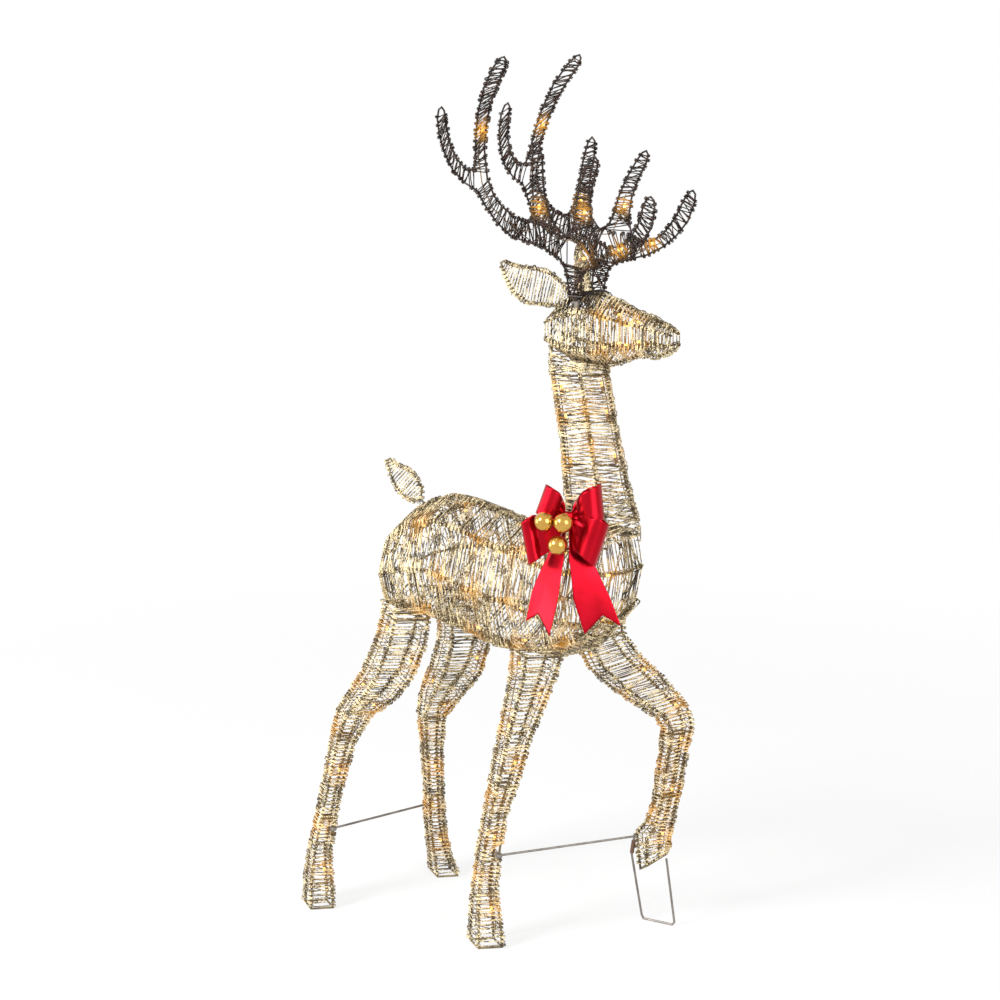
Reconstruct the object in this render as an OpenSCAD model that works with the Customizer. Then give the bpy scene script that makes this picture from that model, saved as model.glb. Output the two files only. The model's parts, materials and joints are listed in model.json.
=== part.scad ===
// Light-up yard reindeer, a standing buck of bent outline wires wound with thread.
// Millimetres. X points ahead, Y to the animal's left, Z up, and the ground is Z = 0.

/* [Wire] */
// Diameter of the outline wires of the body, legs, neck and head
frame_wire = 4; // [3:0.5:6]
// Diameter of the hoops and ties inside the outlines
hoop_wire = 3.5; // [2.5:0.5:5]
// Diameter of the bent outline wire of an antler, an ear or the tail
antler_wire = 3.2; // [2.5:0.1:4]
// Diameter of the wound thread
thread = 2; // [1:0.1:2.5]
// Diameter of the brace rods and of the prop
rod = 4; // [3:0.5:6]
// Diameter of the light string's wire
light_wire = 1.8; // [1.2:0.1:2.5]

/* [Stance] */
// Distance between left and right feet
foot_track = 244; // [180:2:300]
// Distance between left and right legs where they meet the body
hip_track = 144; // [100:2:200]
// Height at which the legs meet the body
hip_height = 550; // [450:5:650]
// Width of a leg over its depth
leg_roundness = 0.8; // [0.5:0.05:1]

/* [Antlers] */
// How far an antler leans outwards, in degrees
antler_lean = 13; // [0:1:25]

/* [Windings] */
// Turns of thread on the body
body_turns = 12; // [6:1:24]
// Turns of thread on each leg
leg_turns = 11; // [6:1:24]
// Turns of thread on the neck
neck_turns = 8; // [4:1:24]
// Turns of thread on the head
head_turns = 6; // [4:1:24]
// Turns of thread on an antler
antler_turns = 9; // [4:1:24]
// Turns of thread on an ear or the tail
ear_turns = 4; // [3:1:12]

/* [Lights] */
// Diameter of a bulb's holder
holder_d = 5.6; // [4:0.1:8]
// Length of a bulb's holder
holder_l = 9; // [6:0.5:14]
// Diameter of a bulb
bulb_d = 4.8; // [3:0.1:6]
// Length of a bulb
bulb_l = 8; // [5:0.5:12]

/* [Pegs and sockets] */
// Diameter of the pegs under the antlers and the neck
peg_d = 6; // [4:0.5:10]
// Diameter of the pegs under the tail
tail_peg_d = 4; // [3:0.5:6]
// Room around a peg in its socket
peg_room = 0.3; // [0.1:0.05:0.6]
// Wall of a socket tube
socket_wall = 1.7; // [1:0.1:3]

/* [Bow] */
// Width of the ribbon
ribbon_w = 60; // [30:1:80]
// Thickness of the ribbon
ribbon_t = 0.9; // [0.5:0.1:2]
// Diameter of the ornament balls
ball_d = 32; // [20:1:50]

/* [Hidden] */
// Point on the ground under the middle of the whole object
centre = [-16.35, -5.23, 0];
frame_r = frame_wire / 2;
hoop_r = hoop_wire / 2;
antler_r = antler_wire / 2;
thread_r = thread / 2;
rod_r = rod / 2;
string_r = light_wire / 2;
// Radius of the bars that carry the pegs
bar_r = 2.5;
tail_bar_r = 2.2;
sides = 6;
touch = 0.1;
// Thread centre outside an outline wire, light string and bulbs inside it, and a leg's bulbs inside its string
thread_out = frame_r + thread_r + 0.15;
hoop_in = frame_r + hoop_r * 1.16 + touch;
tie_in = 3.5;
// Thread centre beyond the outline of an antler or an ear
band_out = 3.5;
// Half the thickness of a winding on an ear or the tail, and on an antler, at the thread's middle
leaf_half = 3.2;
antler_half = 4;
string_in = 7.2;
bulb_in = string_in + string_r + holder_d / 2 + touch;
leg_string_in = 9.8;
leg_bulb_in = string_r + holder_d / 2 + touch;
// Height of the middle of a foot ring that stands on its flat side
foot_z = hoop_r * cos(180 / sides);
foot_top = 2 * foot_z + touch;

// Body outline: place along X, top, underside, half width
body = [
  [-222, 655, 560, 48], [-200, 695, 548, 78], [-155, 735, 538, 98], [-100, 754, 535, 106],
  [-45, 745, 521, 110], [30, 722, 500, 110], [115, 727, 501, 108], [180, 735, 525, 100],
  [226, 728, 580, 75]];
body_hoops = [-218, -125, -45, 37, 122, 204];
body_rails = [90, 135, 180, 225, 270, 315, 0, 45];
// Where the thread starts and stops, clear of the leg tops, the tail and the neck pegs
body_from = -211.5;
body_to = 220.5;

// Head outline, from the back of the skull to the nose
head = [
  [91, 1081, 1036, 34], [134, 1113, 1010, 44], [178, 1121, 1003, 46], [215, 1108, 1010, 42],
  [255, 1092, 1025, 32], [290, 1081, 1026, 25], [316, 1068, 1040, 15]];
head_hoops = [104, 198, 268];
head_rails = [90, 30, -30, -90, -150, 150];
// Where the thread starts and stops, clear of the antler sockets
head_from = 101;
head_to = 298;

// Neck outline: height, back, front, half width, dip of the sides over the shoulders
neck = [
  [748, 127, 250, 66, 16], [810, 118, 231, 58, 7], [880, 112, 212, 54, 0],
  [945, 100, 200, 51, 0], [993, 89, 191, 48, 0]];
neck_hoops = [752, 830, 912, 988];
neck_rails = [0, 60, 120, 180, 240, 300];

// Leg outlines from the hip down: rear wire X and Z, then front wire X and Z
right_rear = [
  [-202, 548, -112, 548], [-212, 505, -117, 505], [-238, 440, -142, 440], [-264, 400, -175, 400],
  [-289, 362, -225, 362], [-300, 310, -255, 310], [-318, 205, -283, 205], [-340, 100, -298, 100],
  [-346, 45, -291, 45], [-347, foot_top, -286, foot_top]];
left_rear = [
  [-178, 545, -79, 545], [-180, 475, -80, 475], [-200, 415, -100, 415], [-226, 362, -145, 362],
  [-235, 322, -181, 322], [-232, 260, -192, 260], [-231, 180, -195, 180], [-234, 100, -196, 100],
  [-231, 45, -188, 45], [-230, foot_top, -172, foot_top]];
right_front = [
  [58, 520, 150, 520], [58, 480, 138, 480], [50, 425, 118, 425], [39, 360, 94, 360],
  [29, 300, 80, 300], [19, 230, 57, 230], [8, 155, 49, 155], [2, 95, 46, 95],
  [0, 45, 58, 45], [0, foot_top, 64, foot_top]];
left_front = [
  [100, 505, 188, 530], [126, 457, 220, 491], [162, 431, 255, 465], [208, 407, 287, 434],
  [249, 389, 309, 410], [264, 368, 316, 380], [259, 326, 305, 338], [250, 276, 296, 288],
  [243, 230, 285, 238], [230, 192, 272, 184], [206, 160, 268, 160], [211, 95, 260, 131]];
legs = [[right_rear, -1], [left_rear, 1], [right_front, -1], [left_front, 1]];
leg_rails = [0, 90, 180, 270];

// Tail outline from the rump to the tip: lower wire X and Z, then upper wire X and Z
tail_band = [
  [-190, 737, -167, 756], [-202, 741.5, -174.5, 770.5], [-213, 749, -184, 781.5], [-224, 762, -198, 791],
  [-232, 778, -213, 793.8], [-236.5, 793, -225, 797]];
tail_tip = [[-238.3, 803.5], [-232.8, 806.5]];
tail_axis = [-0.72, 0, 0.694];
tail_root = [-172, 0, 737];

// Antler outline in its own flat plane: X, then height above the foot of the antler
antler_foot = [154, 38, 1117];
antler_line = [
  [143, 4], [142, 25], [141, 46], [132, 64], [115, 75], [98, 86], [70, 91], [43, 100], [20, 122], [2, 150],
  [-10, 174], [-30, 185], [-50, 205], [-62, 232], [-68, 262], [-68, 292], [-63, 307], [-57, 311],
  [-53, 305], [-53, 290], [-51, 255], [-41, 226], [-24, 207], [-10, 210], [-5, 225], [0, 260],
  [9, 300], [27, 345], [49, 378], [63, 392], [70, 394], [73, 389], [71, 378], [54, 352], [35, 318],
  [22, 280], [14, 245], [13, 195], [22, 165], [35, 148], [55, 132], [74, 124], [88, 130], [93, 155],
  [97, 190], [100, 225], [105, 250], [111, 257], [117, 251], [119, 230], [116, 190], [117, 155],
  [128, 122], [145, 104], [160, 112], [168, 135], [173, 160], [183, 190], [198, 220], [207, 234],
  [214, 237], [218, 231], [217, 220], [205, 190], [197, 160], [195, 125], [205, 97], [222, 87],
  [245, 91], [262, 103], [280, 130], [291, 158], [299, 172], [306, 175], [311, 169], [311, 155],
  [303, 125], [285, 100], [262, 80], [235, 66], [205, 58], [185, 53], [170, 42], [166, 25], [165, 4]];
// Rear and front outline of the upper beam and main tine, where the thread goes
antler_band = [
  [76, 90, 78, 125.7], [43, 100, 55, 132], [20, 122, 35, 148], [2, 150, 22, 165], [-7, 168, 18, 178],
  [-8, 190, 13, 195], [-5, 225, 13.5, 222], [0, 260, 15, 250], [9, 300, 25.5, 290], [27, 345, 44, 334],
  [49, 378, 64, 367]];
// Light string of an antler, first to the brow tine, then from the front tine up the middle tine and along the beam
antler_strings = [
  [[154, 10], [157, 55], [185, 66], [215, 71], [262, 88]],
  [[186, 165], [178, 128], [168, 98], [140, 96], [118, 104], [109, 130], [110, 172], [103, 176], [100, 150],
    [97, 116], [72, 107], [40, 122], [16, 145], [2, 185], [1, 228], [14, 288]]];
// Bulbs beside that string: X, height and the angle that they point along
antler_bulbs = [[174.5, 66.4, 21], [240, 84.4, 20], [185.2, 142, 78], [103.7, 147, 85], [14.6, 272, 77.8]];

// Ear outline: distance from the root along the ear, then across it
ear_root = [131, 46, 1124];
ear_long = [-0.54, 0.70, 0.468];
ear_wide = [-0.374, 0.307, -0.875];
ear_line = [
  [-24, 16], [-6, 20], [16, 29], [43, 39], [72, 35], [94, 22], [118, 3], [115, -2], [93, -2], [61, -14],
  [31, -19], [6, -14], [-36, 6]];
ear_band = [[10, 26.5, 8, -14.4], [43, 39, 31, -19], [72, 35, 61, -14], [98, 18, 93, -2]];

// The slope of the front leg's front wire, which the lifted brace and its sleeve follow
brace_low = leg_point(right_front[6], -1, 0, 0);
brace_high = leg_point(right_front[5], -1, 0, 0);
brace_axis = unit(brace_high - brace_low);
brace_eye = brace_low + 5 * brace_axis;
sleeve_mid = [203, 97, 138];
sleeve_l = 23;
brace_bend = sleeve_mid + 19 * brace_axis;
// The rear brace turns on the right leg's front wire and hooks behind the left leg's rear wire
swing_axis = unit(leg_point(right_rear[6], -1, 0, 0) - leg_point(right_rear[7], -1, 0, 0));
swing_eye = leg_point(right_rear[7], -1, 0, 0) + 47 * swing_axis;
hook_wire = leg_point(left_rear[7], 1, 180, 0) * 0.6 + leg_point(left_rear[6], 1, 180, 0) * 0.4;
hook_at = hook_wire + [-(frame_r + rod_r + 0.35), 0, 0];
eye_out = 6;
eye_h = 6;
eye_room = 0.4;

// Bow: its middle, and its right, up and front directions
bow_mid = [172, -93, 764];
bow_right = [0.883, 0.469, 0];
bow_front = unit([0.466, -0.877, 0.12]);
bow_up = cross(bow_front, bow_right);
// Each ribbon loop: its end to the right and up, the direction of the fold there, the fold's length over the
// ribbon's width, and how far the end stands to the front
bow_loops = [
  [-45, 30, 0.33, 0.94, 0.82, 0], [56, 27, -0.1, 0.99, 0.95, 0],
  [-71, -44, -0.19, 0.98, 1.17, 0], [56, -46, 0.3, 0.95, 1.2, 16]];
// Each ribbon tail: points to the right, up and to the front, from knot to tip
bow_tails = [
  [[-4, -8, -6], [-13, -38, -1], [-21, -70, 4], [-37, -116, 6], [-51, -166, 5]],
  [[4, -8, 0.9], [12, -36, 6], [20, -70, 11], [37, -116, 10], [57, -166, 9]]];
// How far each tail is turned away from the front, in degrees
bow_turns = [-40, 10];
balls = [[-39, -5, 34], [-8, -6, 44], [-17, -43, 36]];

function unit(v) = v / norm(v);
function bulge(c) = sign(c) * pow(abs(c), 0.85);
function mix(a, b, t) = a + (b - a) * t;

// Point of a body or head section at an angle, moved outwards
function barrel(s, a, out) = [
  s[0],
  (s[3] + out) * bulge(cos(a)),
  (s[1] + s[2]) / 2 + ((s[1] - s[2]) / 2 + out) * bulge(sin(a))];

// Point of a neck section at an angle, moved outwards
function collar(s, a, out) = [
  (s[1] + s[2]) / 2 + ((s[2] - s[1]) / 2 + out) * cos(a),
  (s[3] + out) * sin(a),
  s[0] - s[4] * sin(a) * sin(a)];

// Legs lean apart towards the feet
function leg_y(z, side) = side * (foot_track - (foot_track - hip_track) * z / hip_height) / 2;

// Point of a leg section: 0 front, 90 left, 180 rear, 270 right, moved outwards
function leg_point(s, side, a, out) =
  let (m = [s[0] + s[2], s[1] + s[3]] / 2, h = [s[2] - s[0], s[3] - s[1]] / 2, l = norm(h))
  let (u = h / l, c = (l + out) * cos(a), b = leg_roundness * l + out)
  [m.x + u.x * c, leg_y(m.y, side) + b * sin(a), m.y + u.y * c];

// Corner of a leg section whose straight sides are moved outwards
function leg_corner(s, side, a, out) =
  let (l = norm([s[2] - s[0], s[3] - s[1]]) / 2, b = leg_roundness * l)
  let (k = out * sqrt(1 / (l * l) + 1 / (b * b)))
  leg_point(s, side, a, k * (abs(cos(a)) > 0.5 ? l : b));

// Section at a distance, by straight steps between the stations
function at(s, ways, d) = [for (c = [0 : len(s[0]) - 1])
  lookup(d, [for (i = [0 : len(s) - 1]) [ways[i], s[i][c]]])];
function column(s, c) = [for (row = s) row[c]];
function midline(s) = [for (p = s) [p[0] + p[2], p[1] + p[3]] / 2];
function ways(p) = [for (k = [0, 0]; k[1] < len(p);
  k = [k[0] + (k[1] + 1 < len(p) ? norm(p[k[1] + 1] - p[k[1]]) : 0), k[1] + 1]) k[0]];

function antler_point(p, side, off) = [
  p[0],
  side * (antler_foot.y + p[1] * sin(antler_lean) + off * cos(antler_lean)),
  antler_foot.z + p[1] * cos(antler_lean) - off * sin(antler_lean)];
function ear_point(p, side, off) =
  let (n = cross(ear_long, ear_wide))
  let (v = ear_root + p[0] * ear_long + p[1] * ear_wide + off * n)
  [v.x, side * v.y, v.z];
function bow_point(v) = bow_mid + v[0] * bow_right + v[1] * bow_up + v[2] * bow_front;

// Directions along a path, and a normal carried along it without twist
function steps(p, shut) = [for (i = [0 : len(p) - (shut ? 1 : 2)]) unit(p[(i + 1) % len(p)] - p[i])];
function across(d) = unit(cross(d, abs(d.z) < 0.8 ? [0, 0, 1] : [1, 0, 0]));
function carry(e, a, b) = let (t = unit(a + b), m = e - a * ((e * t) / (a * t))) unit(m - b * (m * b));
function normals(d) = [for (k = [0, across(d[0])]; k[0] < len(d);
  k = [k[0] + 1, k[0] + 1 < len(d) ? carry(k[1], d[k[0]], d[k[0] + 1]) : k[1]]) k[1]];

// Rings of a tube, each cut on the half angle between its neighbours
function tube_rings(p, r, shut) =
  let (d = steps(p, shut), e = normals(d), last = len(d) - 1)
  [for (i = [0 : len(p) - 1])
    let (k = i == 0 ? (shut ? last : 0) : i - 1, a = d[k], b = d[min(i, last)])
    let (t = unit(a + b), w = cross(a, e[k]))
    for (n = [0 : sides - 1])
      let (o = r * (cos(360 * n / sides) * e[k] + sin(360 * n / sides) * w))
      p[i] + o - a * ((o * t) / (a * t))];

// Faces that join rings of s points, from point o on
function skin(o, n, s, shut) = concat(
  [for (i = [0 : n - (shut ? 1 : 2)], k = [0 : s - 1])
    let (j = (i + 1) % n, m = (k + 1) % s)
    let (a = o + i * s + k, b = o + i * s + m, c = o + j * s + m, d = o + j * s + k)
    each [[a, c, b], [a, d, c]]],
  shut ? [] : [[for (k = [0 : s - 1]) o + k], [for (k = [0 : s - 1]) o + n * s - 1 - k]]);
function before(paths, i) = i == 0 ? 0 : before(paths, i - 1) + len(paths[i - 1]);

// Least distance between points of a path that aren't neighbours
function least_gap(p) = min([for (i = [0 : len(p) - 4], j = [i + 3 : len(p) - 1]) norm(p[i] - p[j])]);

module tubes(paths, r, shut = false) {
  polyhedron(
    [for (p = paths) each tube_rings(p, r, shut)],
    [for (i = [0 : len(paths) - 1]) each skin(before(paths, i) * sides, len(paths[i]), sides, shut)]);
}

// A winding is one unbroken tube, with the least gap to itself printed
module winding(name, p) {
  echo(str("least gap of ", name, " to itself: ", least_gap(p) - thread, " mm"));
  tubes([p], thread_r);
}

// A bent strip of ribbon from its rings of four corners
module strip(rings) {
  polyhedron([for (q = rings) each q], skin(0, len(rings), 4, false));
}

// A ribbon tail, with a middle line so that its end can be notched
module notched_strip(rings) {
  n = 6 * (len(rings) - 1);
  polyhedron(
    [for (q = rings) each q],
    concat(
      [for (f = skin(0, len(rings), 6, false)) if (len(f) == 3) f],
      [[0, 1, 4, 5], [1, 2, 3, 4], [n + 5, n + 4, n + 1, n], [n + 4, n + 3, n + 2, n + 1]]));
}

module along(p, d) {
  translate(p) rotate([0, acos(d.z), atan2(d.y, d.x)]) children();
}

module rod_between(a, b, r) {
  along(a, unit(b - a)) cylinder(h = norm(b - a), r = r, $fn = 48);
}

module holder(p, d) {
  along(p, d) translate([0, 0, -holder_l]) cylinder(h = holder_l, d = holder_d, $fn = 32);
}

module bulb(p, d) {
  r = bulb_d / 2;
  along(p, d) rotate_extrude($fn = 32)
    polygon([[0, 0], [r, 0], [r, bulb_l * 0.7], [r * 0.7, bulb_l * 0.92], [0, bulb_l]]);
}

module socket(p, d, peg, l) {
  along(p, d) difference() {
    cylinder(h = l, r = peg / 2 + peg_room + socket_wall, $fn = 48);
    translate([0, 0, -1]) cylinder(h = l + 2, r = peg / 2 + peg_room, $fn = 48);
  }
}

// Body
function body_at(x) = at(body, column(body, 0), x);
// How straight a rail runs along X, to keep what goes across it clear where it slopes
function body_run(x, a) = unit(barrel(body_at(x + 1), a, 0) - barrel(body_at(x - 1), a, 0)).x;
function body_thread(i, n) =
  let (x = mix(body_from, body_to, i / n), a = 90 - 45 * i)
  barrel(body_at(x), a, thread_out * max(1.25, 1.1 / body_run(x, a)));
body_path = concat(
  [barrel(body_at(body_from), 90, (frame_r + thread_r) / body_run(body_from, 90))],
  [for (i = [0 : 8 * body_turns]) body_thread(i, 8 * body_turns)],
  [barrel(body_at(body_to), 90, frame_r + touch)]);
function body_hoop(x, a) = barrel(body_at(x), a, -hoop_in / body_run(x, a));

module body_rails() {
  color("#c9b78a") tubes([for (a = body_rails) [for (s = body) barrel(s, a, 0)]], frame_r);
}

module body_hoops() {
  color("#c9b78a")
    tubes([for (x = body_hoops) [for (a = body_rails) body_hoop(x, a)]], hoop_r, true);
}

module body_winding() {
  color("#d8c9a0") winding("body winding", body_path);
}

// Legs
function leg_ways(s) = ways(midline(s));
function leg_at(s, d) = at(s, leg_ways(s), d);
function leg_length(s) = leg_ways(s)[len(s) - 1];
function hip_touch(s, side, a) =
  let (p = leg_point(s[0], side, a, 0))
  let (q = barrel(body_at(p.x), side < 0 ? 225 : 315, 0))
  [p.x, q.y, q.z - 1.6 * frame_r - touch];
function leg_rail(s, side, a) = concat(
  abs(cos(a)) > 0.5 ? [hip_touch(s, side, a)] : [],
  [for (r = s) leg_point(r, side, a, 0)]);
function leg_tie(s, side, d) = [for (a = leg_rails) leg_corner(leg_at(s, d), side, a, -tie_in)];
function foot_ring(s, side) =
  let (n = len(s) - 1, m = midline(s), v = unit(m[n] - m[n - 1]), flat = s[n][1] == s[n][3])
  let (drop = flat ? [0, 0, -touch - foot_z] : (hoop_r + touch) * [v.x, 0, v.y])
  [for (a = leg_rails) leg_point(s[n], side, a, 0) + drop];
function leg_path(s, side, turns) =
  let (n = 4 * turns, start = 12, stop = leg_length(s) - 10)
  concat(
    [leg_point(leg_at(s, start), side, 0, frame_r + touch)],
    [for (i = [0 : n]) leg_corner(leg_at(s, mix(start, stop, i / n)), side, 90 * i, thread_out)],
    [leg_point(leg_at(s, stop), side, 0, frame_r + touch)]);
function leg_inside(s, side, d, a, in) = leg_point(leg_at(s, d), side, a, -in);
function leg_marks(s) =
  let (w = leg_ways(s), n = len(s) - 1)
  concat([12], [for (i = [1 : n - 1]) w[i]], [w[n] - 26]);
function leg_string(s, side) =
  let (m = leg_marks(s), n = len(m) - 1)
  concat(
    [for (d = m) leg_inside(s, side, d, 0, leg_string_in)],
    [for (i = [n : -1 : 0]) leg_inside(s, side, m[i], 180, leg_string_in)]);

module leg_frame(s, side) {
  l = leg_length(s);
  color("#c9b78a") {
    tubes([for (a = leg_rails) leg_rail(s, side, a)], frame_r);
    tubes([for (d = [2, 0.46 * l, 0.72 * l]) leg_tie(s, side, d)], hoop_r, true);
    tubes([foot_ring(s, side)], hoop_r, true);
  }
}

module leg_winding(name, s, side, turns = leg_turns) {
  color("#d8c9a0") winding(name, leg_path(s, side, turns));
}

module right_rear_leg_frame() { leg_frame(right_rear, -1); }
module left_rear_leg_frame() { leg_frame(left_rear, 1); }
module right_front_leg_frame() { leg_frame(right_front, -1); }
module left_front_leg_frame() { leg_frame(left_front, 1); }
module right_rear_leg_winding() { leg_winding("right rear leg winding", right_rear, -1); }
module right_front_leg_winding() { leg_winding("right front leg winding", right_front, -1); }
module left_front_leg_winding() { leg_winding("left front leg winding", left_front, 1); }

// One turn less here, so that the thread leaves room for the hook of the rear brace
module left_rear_leg_winding() { leg_winding("left rear leg winding", left_rear, 1, leg_turns - 1); }

// Braces and prop
module eye(p, d) {
  along(p - d * eye_h / 2, d) difference() {
    cylinder(h = eye_h, r = eye_out, $fn = 48);
    translate([0, 0, -1]) cylinder(h = eye_h + 2, r = frame_r + eye_room, $fn = 48);
  }
}

module rear_brace() {
  d = unit(hook_at - swing_eye);
  color("#6b655c") {
    eye(swing_eye, swing_axis);
    rod_between(swing_eye + d * (eye_out - 1), hook_at + d * 5, rod_r);
    rod_between(hook_at + d * 5 - [1, 0, 0], hook_at + d * 5 + [9, 0, 0], rod_r * 0.9);
  }
}

module front_brace() {
  d = unit(brace_bend - brace_eye);
  color("#6b655c") {
    eye(brace_eye, brace_axis);
    rod_between(brace_eye + d * (eye_out - 1), brace_bend, rod_r);
    translate(brace_bend) sphere(r = rod_r * 1.1, $fn = 32);
    rod_between(brace_bend, sleeve_mid + brace_axis, rod_r);
  }
}

module prop_sleeve() {
  color("#7a4a33") along(sleeve_mid - brace_axis * sleeve_l / 2, brace_axis) difference() {
    cylinder(h = sleeve_l, r = rod_r + socket_wall, $fn = 48);
    translate([0, 0, -1]) cylinder(h = sleeve_l + 2, r = rod_r + peg_room, $fn = 48);
  }
}

// The prop stands on a flat length of rod and runs up both sides of the raised hoof
prop_z = rod_r * cos(180 / sides);
prop_y = leg_y(113, 1);
prop_path = [
  [261.5, prop_y, 122], [279, prop_y, 7], [275, prop_y, prop_z], [219, prop_y, prop_z], [215, prop_y, 8],
  sleeve_mid - brace_axis * (sleeve_l / 2 + 2), sleeve_mid - brace_axis * 0.5];

module hoof_prop() {
  color("#6b655c") tubes([prop_path], rod_r);
}

// Neck
function neck_at(z) = at(neck, column(neck, 0), z);
function neck_rail(a) = concat(
  [for (s = neck) collar(s, a, 0)],
  a == 0 ? [[189, 0, 1001]] : a == 180 ? [[86, 0, 1012], [91, 0, 1031]] : []);
function neck_thread(i, n) = collar(neck_at(mix(756, 984, i / n)), 60 * i, thread_out * 1.25);
neck_path = concat(
  [collar(neck_at(756), 0, frame_r + touch)],
  [for (i = [0 : 6 * neck_turns]) neck_thread(i, 6 * neck_turns)],
  [collar(neck_at(984), 0, frame_r + touch)]);
neck_peg_x = 160;
neck_peg_y = frame_r + peg_d / 2 + peg_room + socket_wall + touch;
neck_bar_z = 752;
neck_bar_y = 54;
neck_socket_top = 741;
neck_socket_l = 44;

module neck_frame() {
  color("#c9b78a") {
    tubes([for (a = neck_rails) neck_rail(a)], frame_r);
    tubes([for (z = neck_hoops) [for (a = neck_rails) collar(neck_at(z), a, -hoop_in)]], hoop_r, true);
  }
}

module neck_winding() {
  color("#d8c9a0") winding("neck winding", neck_path);
}

// A bar across the foot of the neck with the two pegs that drop into the body
module neck_pegs() {
  color("#8a8378") {
    rod_between([neck_peg_x, -neck_bar_y, neck_bar_z], [neck_peg_x, neck_bar_y, neck_bar_z], bar_r);
    for (s = [-1, 1])
      translate([neck_peg_x, s * neck_peg_y, neck_socket_top - neck_socket_l + 2])
        cylinder(h = neck_bar_z - neck_socket_top + neck_socket_l - 2, d = peg_d, $fn = 48);
  }
}

module neck_sockets() {
  color("#8a8378") for (s = [-1, 1])
    socket([neck_peg_x, s * neck_peg_y, neck_socket_top - neck_socket_l], [0, 0, 1], peg_d, neck_socket_l);
}

// Head and ears
function head_at(x) = at(head, column(head, 0), x);
function head_thread(i, n) = barrel(head_at(mix(head_from, head_to, i / n)), 90 - 60 * i, thread_out * 1.25);
head_path = concat(
  [barrel(head_at(head_from), 90, frame_r + touch)],
  [for (i = [0 : 6 * head_turns]) head_thread(i, 6 * head_turns)],
  [barrel(head_at(head_to), 90, frame_r + touch)]);

module head_frame() {
  color("#c9b78a") {
    tubes([for (a = head_rails) [for (s = head) barrel(s, a, 0)]], frame_r);
    tubes([for (x = head_hoops) [for (a = head_rails) barrel(head_at(x), a, -hoop_in)]], hoop_r, true);
  }
}

module head_winding() {
  color("#d8c9a0") winding("head winding", head_path);
}

// A thread wound flat round two outline wires, which lie in one plane
function band_at(b, t) =
  let (way = ways(midline(b)), l = way[len(b) - 1])
  at(b, way, mix(2, l - 2, t));
function band_corner(s, k, w) =
  let (p = [s[0], s[1]], q = [s[2], s[3]], v = unit(q - p))
  k == 0 || k == 3 ? p - w * v : q + w * v;
function band_path(b, turns, w, off, place) =
  let (n = 4 * turns, last = band_at(b, 1))
  concat(
    [place(band_at(b, 0), antler_r + touch), place(band_at(b, 0), off)],
    [for (i = [1 : n]) place(band_corner(band_at(b, i / n), i % 4, w), i % 4 < 2 ? off : -off)],
    [place(last, off), place(last, antler_r + touch)]);

module ear_frame(side) {
  color("#c9b78a") tubes([[for (p = ear_line) ear_point(p, side, 0)]], antler_r);
}

module ear_winding(name, side) {
  color("#d8c9a0") winding(name, band_path(ear_band, ear_turns, band_out, leaf_half,
    function (p, o) ear_point(p, side, o)));
}

module right_ear_frame() { ear_frame(-1); }
module left_ear_frame() { ear_frame(1); }
module right_ear_winding() { ear_winding("right ear winding", -1); }
module left_ear_winding() { ear_winding("left ear winding", 1); }

// Antlers
function antler_up(side) = [0, side * sin(antler_lean), cos(antler_lean)];

module antler_frame(side) {
  color("#3a261c") tubes([[for (p = antler_line) antler_point(p, side, 0)]], antler_r);
}

module antler_winding(name, side) {
  color("#4a3226") winding(name, band_path(antler_band, antler_turns, band_out, antler_half,
    function (p, o) antler_point(p, side, o)));
}

// A peg and the bar that carries the two feet of the outline
module antler_peg(side) {
  color("#3a261c") {
    rod_between(antler_point([154, -34], side, 0), antler_point([154, 1], side, 0), peg_d / 2);
    rod_between(antler_point([141.5, 1.3], side, 0), antler_point([166.5, 1.3], side, 0), bar_r);
  }
}

module antler_sockets() {
  color("#8a8378") for (s = [-1, 1])
    socket(antler_point([154, -36], s, 0), antler_up(s), peg_d, 30);
}

module antler_string(side) {
  color("#5a4636")
    tubes([for (p = antler_strings) [for (q = p) antler_point(q, side, 0)]], string_r);
}

function antler_aim(b, side) = antler_point([cos(b[2]), sin(b[2])], side, 0) - antler_point([0, 0], side, 0);

module antler_holders(side) {
  color("#5a4636") for (b = antler_bulbs) holder(antler_point(b, side, 0), antler_aim(b, side));
}

module antler_lamps(side) {
  color("#ffd27a") for (b = antler_bulbs) bulb(antler_point(b, side, 0), antler_aim(b, side));
}

module right_antler_frame() { antler_frame(-1); }
module left_antler_frame() { antler_frame(1); }
module right_antler_winding() { antler_winding("right antler winding", -1); }
module left_antler_winding() { antler_winding("left antler winding", 1); }
module right_antler_peg() { antler_peg(-1); }
module left_antler_peg() { antler_peg(1); }
module right_antler_light_wire() { antler_string(-1); }
module left_antler_light_wire() { antler_string(1); }
module right_antler_holders() { antler_holders(-1); }
module left_antler_holders() { antler_holders(1); }
module right_antler_bulbs() { antler_lamps(-1); }
module left_antler_bulbs() { antler_lamps(1); }

// Tail
tail_peg_y = frame_r + tail_peg_d / 2 + peg_room + socket_wall + touch;
tail_bar_y = 7.8;
function tail_point(p, off) = [p[0], off, p[1]];
function tail_foot(p) =
  let (o = [tail_root.x, tail_root.z])
  o + (tail_bar_r + touch) * unit(p - o);
tail_low = [for (s = tail_band) [s[0], s[1]]];
tail_high = [for (i = [len(tail_band) - 1 : -1 : 0]) [tail_band[i][2], tail_band[i][3]]];
tail_line = concat(
  [tail_foot(tail_low[0])], tail_low, tail_tip, tail_high, [tail_foot(tail_high[len(tail_high) - 1])]);

// One bent outline wire, with both ends on the bar
module tail_frame() {
  color("#c9b78a") tubes([[for (p = tail_line) tail_point(p, 0)]], antler_r);
}

module tail_winding() {
  color("#d8c9a0") winding("tail winding", band_path(tail_band, ear_turns, band_out, leaf_half,
    function (p, o) tail_point(p, o)));
}

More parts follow.
